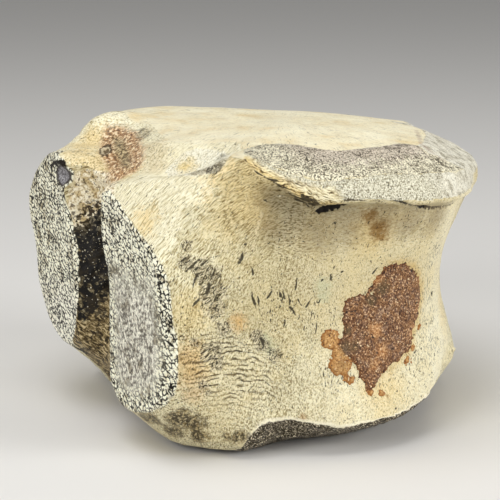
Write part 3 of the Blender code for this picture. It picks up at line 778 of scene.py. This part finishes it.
# Winding ridges of the facets, light on dark, worn smooth and grey towards the middle.
shifted = f.scaled(f.grain(0.9), 1.5 * MM, -0.75 * MM)
facet_across = f.scaled(at_x, 0.58, f.scaled(at_y, 1.1, shifted))
facet_up = f.times(f.minus(at_z, shifted), 0.88)
facet_place = f.step("ShaderNodeCombineXYZ", 0, {0: facet_across, 1: facet_up})
ridges = f.step(
    "ShaderNodeTexVoronoi", "Distance", {"Vector": facet_place, "Scale": 1.05 / MM},
    feature="DISTANCE_TO_EDGE", voronoi_dimensions="2D")
mottle = f.grain(3.4, 4, 0.72)
rim_near = f.rise(f.scaled(ragged, 3, f.own("facet")), 7, 2)
high_up = past(at_z, 34, 44, 6)
far_one = past(at_x, -6, -10)
ridged = f.most(rim_near, f.most(high_up, far_one))
unbroken = f.rise(f.grain(1.1), 0.34, 0.46)
groove_width = f.scaled(f.rise(mottle, 0.42, 0.66), 0.13, 0.13)
groove_width = f.times(groove_width, f.scaled(past(at_x, 31, 35), 0.1, 1))
cut = f.times(f.rise(f.maths("DIVIDE", ridges, groove_width), 1.22, 0.52), unbroken)
cut = f.times(cut, f.scaled(ridged, 0.75, 0.25))
facet_light = f.mix(
    ridged, f.ramp(f.grain(0.9, 3, 0.7), (0.4, 108, 102, 90), (0.48, 186, 181, 166), (0.57, 252, 248, 230)),
    f.ramp(crumbs, (0.36, 236, 227, 194), (0.5, 255, 253, 230)))
facet_light = f.stain(f.rise(mottle, 0.5, 0.66), facet_light, (188, 181, 170))
low_far = f.times(far_one, past(at_z, 34, 24, 6))
facet_light = f.mix(low_far, facet_light, (252, 248, 230), 0.8)
high_far = f.times(past(at_x, -20, -26), f.rise(mottle, 0.44, 0.58))
facet_light = f.stain(high_far, facet_light, (212, 202, 176), 0.3)
facet_colour = f.mix(cut, facet_light, (20, 15, 8))
f.lay(edge("facet", -0.2, 0.2, 0.5), facet_colour)
pit_colour = f.ramp(stipple, (0.36, 92, 88, 88), (0.5, 146, 143, 145), (0.66, 196, 194, 196))
pit_colour = f.mix(f.rise(f.own("round_pit"), 0.7, 0.95), pit_colour, (62, 56, 52))
f.lay(edge("round_pit", 1.08, 0.92, -0.2), pit_colour)

# Matrix left in the canal, in the hollow beside it and under the rim, whose chipped underside is also painted
# darker as shade.
square_on = f.step("ShaderNodeCombineXYZ", 0, {0: at_x, 1: at_z, 2: at_y})
dirt = f.streaks(f.drawn_out(square_on, -35, 1.1, 0.5), 3, 0.7, 0.5)
brown = f.ramp(dirt, (0.38, 40, 29, 12), (0.45, 86, 70, 38), (0.52, 136, 117, 78), (0.62, 206, 188, 146))
brown = f.mix(f.speckle(1.3, 0.61, 0.03), brown, (34, 26, 13), 0.8)
upper = f.ramp(fine, (0.36, 178, 158, 120), (0.48, 236, 222, 188), (0.62, 252, 244, 220))
upper = f.stain(f.speckle(2, 0.56, 0.06), upper, (216, 204, 178))
upper = f.mix(f.speckle(0.9, 0.61), upper, (70, 56, 36), 0.8)
near_black = f.rise(f.scaled(crumbs, 3, f.own("matrix")), -1.1, 0.6)
upper = f.mix(f.times(near_black, f.speckle(0.7, 0.5, 0.05)), upper, (58, 46, 28))
brown = f.mix(past(at_z, 41, 46, 3), brown, upper)
in_canal = f.times(edge("groove", 0.4, 0.6, 0.3), f.rise(f.own("facet"), 0.1, -0.1))
f.lay(in_canal, brown)
black = f.mix(f.speckle(0.45, 0.7, 0.03), (12, 8, 3), (114, 101, 72))
ashen = f.times(f.speckle(1.1, 0.54, 0.06), past(at_z, 41, 46))
black = f.mix(ashen, black, f.ramp(crumbs, (0.4, 50, 43, 31), (0.6, 176, 164, 134)), 0.7)
patchy = f.times(f.speckle(1.8, 0.56, 0.05), past(at_z, 36, 30))
black = f.mix(
    patchy, black, f.ramp(dirt, (0.4, 46, 36, 20), (0.52, 120, 106, 74), (0.64, 190, 178, 144)), 0.8)
black = f.mix(f.speckle(3, 0.58, 0.06), black, (60, 49, 28), 0.4)
f.lay(edge("matrix", -0.25, 0.15, 1.8), black)
f.lay(edge("floor_crack", 0.75, 0.35, -0.6), (26, 19, 10))
rust_grain = f.ramp(
    crumbs, (0.36, 72, 40, 18), (0.45, 144, 96, 58), (0.54, 206, 166, 120), (0.64, 252, 234, 200))
grey_grain = f.ramp(crumbs, (0.38, 52, 40, 22), (0.48, 112, 90, 58), (0.62, 206, 186, 144))
rust_grain = f.mix(f.rise(f.own("hollow"), 2.2, 4.2), rust_grain, grey_grain)
f.lay(edge("hollow", -1, 1.4, 1.5), rust_grain, 0.9)
ring_colour = f.ramp(
    f.scaled(ragged, 1, f.own("ringed_pit")), (0, 120, 106, 82), (0.4, 104, 88, 62), (0.6, 206, 192, 158),
    (0.76, 214, 200, 166), (0.92, 58, 42, 22))
f.lay(edge("ringed_pit", 1.35, 1.1), ring_colour, 0.9)
# The chipped underside: dark stippled bone, painted darker still as shade where it faces down.
under = f.ramp(stipple, (0.41, 28, 22, 12), (0.52, 68, 59, 43), (0.58, 150, 138, 113), (0.65, 238, 228, 202))
f.lay(edge("chipped", -0.15, 0.15, 0.9), under)

f.coat(0.22)
f.link(f.ramp(stipple, (0.3, 200, 200, 200), (0.7, 160, 160, 160)), "Roughness")
f.fix("Specular IOR Level", 0.2)
height = f.scaled(f.times(f.rise(f.own("facet"), -0.2, 0.2), cut), -0.8, fibre)
height = f.minus(f.scaled(stipple, 0.3, height), f.most(small_hole, ring_line))
f.roughen(height, 0.25, 0.55)


def dress(mesh):
    """Give a mesh the finish at hand, and smooth faces."""
    mesh.materials.clear()
    mesh.materials.append(f.material)
    for polygon in mesh.polygons:
        polygon.use_smooth = True


dress(skin)
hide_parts("centrum")
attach(bone, "root")

# Pale grains of rock that still stick in the black matrix of the canal.
# They are small pebbles, each half sunk in the matrix, strewn by a node group with a fixed seed.
CANAL_GRAINS = {"Density": 0.60e6, "Smallest": 0.08 * MM, "Largest": 0.28 * MM, "Seed": 11}


def node_group_for_grains():
    """Grains of random size and turn, strewn over a host's faces. The names of its inputs come with it."""
    tree = bpy.data.node_groups.new("strewn_grains", "GeometryNodeTree")
    kinds = {
        "Host": "Geometry", "Density": "Float", "Smallest": "Float", "Largest": "Float", "Seed": "Int",
        "Finish": "Material",
    }
    name_of = {}
    for label, kind in kinds.items():
        socket = tree.interface.new_socket(label, in_out="INPUT", socket_type="NodeSocket" + kind)
        name_of[label] = socket.identifier
    tree.interface.new_socket("Grains", in_out="OUTPUT", socket_type="NodeSocketGeometry")
    g = Steps(tree)
    given = g.step("NodeGroupInput").node.outputs
    places = g.step(
        "GeometryNodeDistributePointsOnFaces", "Points",
        {"Mesh": given["Host"], "Density": given["Density"], "Seed": given["Seed"]})
    pebble = g.step("GeometryNodeMeshIcoSphere", "Mesh", {"Radius": 1.0, "Subdivisions": 1})
    size = g.step("FunctionNodeRandomValue", 1, {2: given["Smallest"], 3: given["Largest"], 8: given["Seed"]})
    turn = g.step(
        "FunctionNodeRandomValue", 0, {1: (6.2, 6.2, 6.2), 8: given["Seed"]}, data_type="FLOAT_VECTOR")
    squash = g.step(
        "FunctionNodeRandomValue", 0, {0: (0.6, 0.6, 0.6), 8: given["Seed"]}, data_type="FLOAT_VECTOR")
    scale = g.step("ShaderNodeVectorMath", 0, {0: squash, 1: size}, operation="MULTIPLY")
    strewn = g.step(
        "GeometryNodeInstanceOnPoints", "Instances",
        {"Points": places, "Instance": pebble, "Rotation": turn, "Scale": scale})
    made = g.step("GeometryNodeRealizeInstances", "Geometry", {"Geometry": strewn})
    dressed = g.step("GeometryNodeSetMaterial", "Geometry", {"Geometry": made, "Material": given["Finish"]})
    tree.links.new(dressed, tree.nodes.new("NodeGroupOutput").inputs[0])
    return tree, name_of


GRAINS, GRAIN_INPUTS = node_group_for_grains()


def mesh_of(name, spots, cells):
    """A mesh of these cells and of only the spots that they use, with the numbers that the spots had."""
    used = sorted({k for cell in cells for k in cell})
    place_of = {k: n for n, k in enumerate(used)}
    mesh = bpy.data.meshes.new(name)
    mesh.from_pydata([spots[k] for k in used], [], [tuple(place_of[k] for k in cell) for cell in cells])
    return mesh, used


def strew(name, mesh, chosen, values):
    """A piece of grains in the finish at hand, strewn over the chosen faces of a mesh."""
    host, _ = mesh_of(name + "_host", [tuple(v.co) for v in mesh.vertices], chosen)
    piece = placed(name, host)
    strewing = piece.modifiers.new("strewn grains", "NODES")
    strewing.node_group = GRAINS
    for label, value in {**values, "Finish": f.material}.items():
        strewing[GRAIN_INPUTS[label]] = value
    settle(piece)
    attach(piece, "root")


def stone_finish(name, size, *stops):
    """The finish of small grains: dull stone in spots of this size."""
    made = Finish(name)
    made.colour = made.ramp(made.grain(size, 2.0, 0.6), *stops)
    made.coat(0.3)
    made.fix("Roughness", 0.6)
    return made


f = stone_finish("rock_grains", 0.8, (0.38, 126, 112, 80), (0.5, 196, 188, 160), (0.62, 238, 234, 220))
in_matrix = matrix > 0.5
chosen = [tuple(p.vertices) for p in skin.polygons if all(in_matrix[k] for k in p.vertices)]
strew("canal_grains", skin, chosen, CANAL_GRAINS)

# The iron crust: a thin scab of rusty iron mineral that grew on the right side.
# It is a shell of its own, under half a millimetre proud, with its thin edge let into the bone.
CRUST_STEP = 0.25
CRUST_MARGIN = 2.0
LOBE_MARGIN = 3.6
CRUST_PROUD = 0.32
CRUST_SUNK = 0.3
CRUST_WALL = 0.6
CRUST_EDGE = -0.4
CRUST_FROM = 60.0
LOBES = [(-12, 26.2, 2.3), (-9.9, 20.6, 2.7), (-10, 23.4, 1.8)]
SPOTS = [
    (-7.6, 16.8, 1), (-8.6, 17.6, 0.7), (-3.3, 13.6, 0.8), (-0.4, 13.2, 0.7), (9.6, 21.4, 0.8),
    (7.6, 19, 0.9), (8.8, 18.2, 0.6), (12.4, 25.6, 0.7),
]
CRUST_HOLES = [(-1.6, 35.5, 1.2), (0.4, 36.4, 0.9), (1.6, 38.4, 0.7)]

reach_y = (min(p[0] for p in CRUST + LOBES) - LOBE_MARGIN, max(p[0] for p in CRUST) + CRUST_MARGIN)
reach_z = (min(p[1] for p in CRUST) - CRUST_MARGIN, max(p[1] for p in CRUST) + CRUST_MARGIN)
rows = np.arange(reach_z[0], reach_z[1], CRUST_STEP)
columns = np.arange(reach_y[0], reach_y[1], CRUST_STEP)
grid_y, grid_z = [part.ravel() for part in np.meshgrid(columns, rows)]


def spots_of(size, level):
    """Noise over the crust's grid, whose spots have this size."""
    return np.array([noise.noise(Vector((a / size, b / size, level))) for a, b in zip(grid_y, grid_z)])


rough_edge = [noise.fractal(Vector((a / 1.7, b / 1.7, 0.0)), 1.0, 2.0, 2) for a, b in zip(grid_y, grid_z)]
ragged_in = np.array(rough_edge) + 1.1 * spots_of(0.55, 3.0)
deep_in = inside(grid_y, grid_z, CRUST)
lobe_in = np.full(len(grid_y), -9.0)
for ly, lz, reach in LOBES + SPOTS:
    lobe_in = np.maximum(lobe_in, reach - np.hypot(grid_y - ly, grid_z - lz))
hole_in = np.zeros(len(grid_y))
for hy, hz, reach in CRUST_HOLES:
    hole_in = np.maximum(hole_in, rise(1.0, 0.3, np.hypot(grid_y - hy, grid_z - hz) / reach))
whole_in = np.maximum(deep_in, lobe_in) + 0.55 * ragged_in
proud = CRUST_PROUD * rise(-0.1, 0.7, whole_in) * (1.0 - hole_in)
proud += 0.16 * spots_of(0.62, 7.0) * rise(0.0, 0.5, whole_in)
proud -= CRUST_SUNK * rise(0.1, -0.5, whole_in)

# The grid is set down on the bone from its right.
tree = BVHTree.FromPolygons([Vector(v.co) for v in skin.vertices], [tuple(p.vertices) for p in skin.polygons])
leftward = Vector((-1.0, 0.0, 0.0))
spots_on, normals_on = [], []
for a, b in zip(grid_y, grid_z):
    spot, normal, _, _ = tree.ray_cast(Vector((CRUST_FROM * MM, a * MM, b * MM)), leftward)
    spots_on.append(spot)
    normals_on.append(normal)
lifted = [spot + normal * (h * MM) for spot, normal, h in zip(spots_on, normals_on, proud)]
wide = len(columns)
cells = []
for row in range(len(rows) - 1):
    for column in range(wide - 1):
        corner = row * wide + column
        cell = (corner, corner + 1, corner + wide + 1, corner + wide)
        if max(whole_in[k] for k in cell) > CRUST_EDGE:
            cells.append(cell)
crust_mesh, used = mesh_of("iron_crust", lifted, cells)
keep(crust_mesh, "lobe", (lobe_in - deep_in)[used])
keep(crust_mesh, "deep", whole_in[used])
crust = placed("iron_crust", crust_mesh)
wall_of = crust.modifiers.new("wall", "SOLIDIFY")
wall_of.thickness = CRUST_WALL * MM
wall_of.offset = -1.0
solid = settle(crust)

ORANGE_PATCHES = [
    (45.8, 0.4, 22.4, 2.6), (45.6, -1.1, 27.2, 2.8), (46, -1.6, 19.6, 2.4), (45.2, 9.8, 33, 1.6),
    (45, 12.4, 30, 2.6), (45, 10, 25.5, 2.4), (45.3, -1, 38.4, 2.4), (45, 12, 36, 2.6),
]
OLIVE_PATCHES = [
    (45.4, 0.6, 36.4, 2.6), (45.4, -2.2, 34, 2), (45, -9.6, 20.2, 2.6), (45.1, -8.8, 24, 2.6),
    (45.1, -6.4, 24.2, 2.2), (45.2, -8.2, 28, 1.6),
]
f = Finish("iron_crust")
fine = f.grain(0.42, 2, 0.7)
medium = f.grain(1.5, 3, 0.65)
wavering = f.scaled(medium, 2.4 * MM, -1.2 * MM)


def patches_of(places, soft=0.8):
    """A mask round each place, with a wavering border."""
    mask = None
    for px, py, pz, reach in places:
        away = f.step(
            "ShaderNodeVectorMath", 1, {0: f.place, 1: (px * MM, py * MM, pz * MM)}, operation="DISTANCE")
        one = f.rise(f.plus(away, wavering), reach * MM, (reach - soft * reach) * MM)
        mask = one if mask is None else f.most(mask, one)
    return mask


f.colour = f.ramp(
    fine, (0.34, 58, 31, 13), (0.44, 104, 66, 36), (0.54, 140, 98, 60), (0.64, 182, 140, 94),
    (0.74, 230, 202, 158))
purple = f.ramp(fine, (0.36, 72, 48, 36), (0.5, 122, 89, 66), (0.66, 206, 174, 140))
f.lay(f.rise(medium, 0.45, 0.65), purple)
broad = f.grain(3.6, 3, 0.65)
f.wash(f.rise(broad, 0.52, 0.66), (204, 188, 172))
f.lay(
    patches_of(ORANGE_PATCHES), f.ramp(fine, (0.36, 138, 86, 42), (0.5, 194, 140, 86), (0.66, 236, 200, 150)),
    0.85)
f.lay(patches_of(OLIVE_PATCHES), (84, 72, 48), 0.6)
f.lay(f.speckle(0.42, 0.67, 0.03), (222, 186, 146))
f.lay(f.speckle(1.3, 0.72, 0.05), (52, 34, 22))
ochre = f.ramp(fine, (0.34, 132, 86, 36), (0.46, 190, 142, 84), (0.58, 212, 166, 104), (0.7, 234, 200, 144))
f.lay(f.rise(f.scaled(medium, 1, f.own("lobe")), 0.3, 1), ochre)
f.lay(patches_of(OLIVE_PATCHES), (96, 76, 44), 0.35)
f.wash(f.rise(f.scaled(medium, 1.2, f.own("deep")), 1.7, 0.6), (204, 176, 134))
f.coat(0.4)
f.fix("Roughness", 0.62)
f.fix("Specular IOR Level", 0.35)
f.roughen(fine, 0.3, 0.8)
dress(solid)
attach(crust, "root")

# The crust's own grains: rusty and cream nodules of the same iron mineral.
# They grew on the crust and stand a little out of it, and are strewn by the same node group.
CRUST_GRAINS = {"Density": 0.85e6, "Smallest": 0.1 * MM, "Largest": 0.3 * MM, "Seed": 5}
f = stone_finish(
    "rusty_grains", 0.9, (0.38, 72, 42, 22), (0.47, 126, 84, 52), (0.55, 192, 148, 98), (0.64, 244, 222, 182))
depth_of = solid.attributes["deep"].data
chosen = []
for polygon in solid.polygons:
    if polygon.normal.x > 0.3 and all(depth_of[k].value > 0.2 for k in polygon.vertices):
        chosen.append(tuple(polygon.vertices))
strew("crust_grains", solid, chosen, CRUST_GRAINS)

# The studio: a pale floor, one broad soft light above, a fill and a light from the right.
# The floor runs far past the frame, so that no edge of it shows.
FLOOR_HALF = 3.0
floor_mesh = bpy.data.meshes.new("floor")
corners = [(-FLOOR_HALF, -FLOOR_HALF, 0.0), (FLOOR_HALF, -FLOOR_HALF, 0.0)]
corners += [(FLOOR_HALF, FLOOR_HALF, 0.0), (-FLOOR_HALF, FLOOR_HALF, 0.0)]
floor_mesh.from_pydata(corners, [], [(0, 1, 2, 3)])
floor = placed("floor", floor_mesh)
floor_finish = Finish("pale_floor")
floor_finish.fix("Base Color", shade(226, 224, 220))
floor_finish.fix("Roughness", 0.9)
floor_mesh.materials.append(floor_finish.material)

LIGHTS = {
    "overhead": ((0.05, -0.20, 0.75), 0.55, 3.1), "front": ((0.35, -0.75, 0.42), 0.40, 2.9),
    "right": ((0.60, 0.50, 0.28), 0.35, 4.0),
}
aim = Vector((0.0, 0.0, 0.035))
for name, (spot, width, power) in LIGHTS.items():
    lamp = bpy.data.lights.new(name, "AREA")
    lamp.size = width
    lamp.energy = power
    holder = placed(name, lamp)
    holder.location = spot
    holder.rotation_euler = (aim - Vector(spot)).to_track_quat("-Z", "Y").to_euler()
world = bpy.data.worlds.new("studio")
world.use_nodes = True
world.node_tree.nodes["Background"].inputs["Color"].default_value = shade(232, 232, 232)
world.node_tree.nodes["Background"].inputs["Strength"].default_value = 0.35
bpy.context.scene.world = world
bpy.context.scene.view_settings.view_transform = "Standard"

# The camera looks at the bone's right side and its back from a little above, as the photograph does.
# It stands off as far as a long lens needs.
CAMERA_TURN = 60.0
CAMERA_AWAY = 400.0
CAMERA_HEIGHT = 124.3
AIM_LEFT = 7.9
AIM_HEIGHT = 36.0
LENS = 121.75
turn = math.radians(CAMERA_TURN)
camera_spot = Vector(
    (AXIS_X + CAMERA_AWAY * math.sin(turn), AXIS_Y - CAMERA_AWAY * math.cos(turn), CAMERA_HEIGHT))
camera_aim = Vector((AXIS_X - AIM_LEFT * math.cos(turn), AXIS_Y - AIM_LEFT * math.sin(turn), AIM_HEIGHT))
lens = bpy.data.cameras.new("photo_view")
lens.lens = LENS
lens.sensor_width = 36.0
lens.clip_start = 0.01
camera = placed("photo_view", lens)
camera.location = camera_spot * MM
camera.rotation_euler = (camera_aim - camera_spot).to_track_quat("-Z", "Y").to_euler()
bpy.context.scene.camera = camera
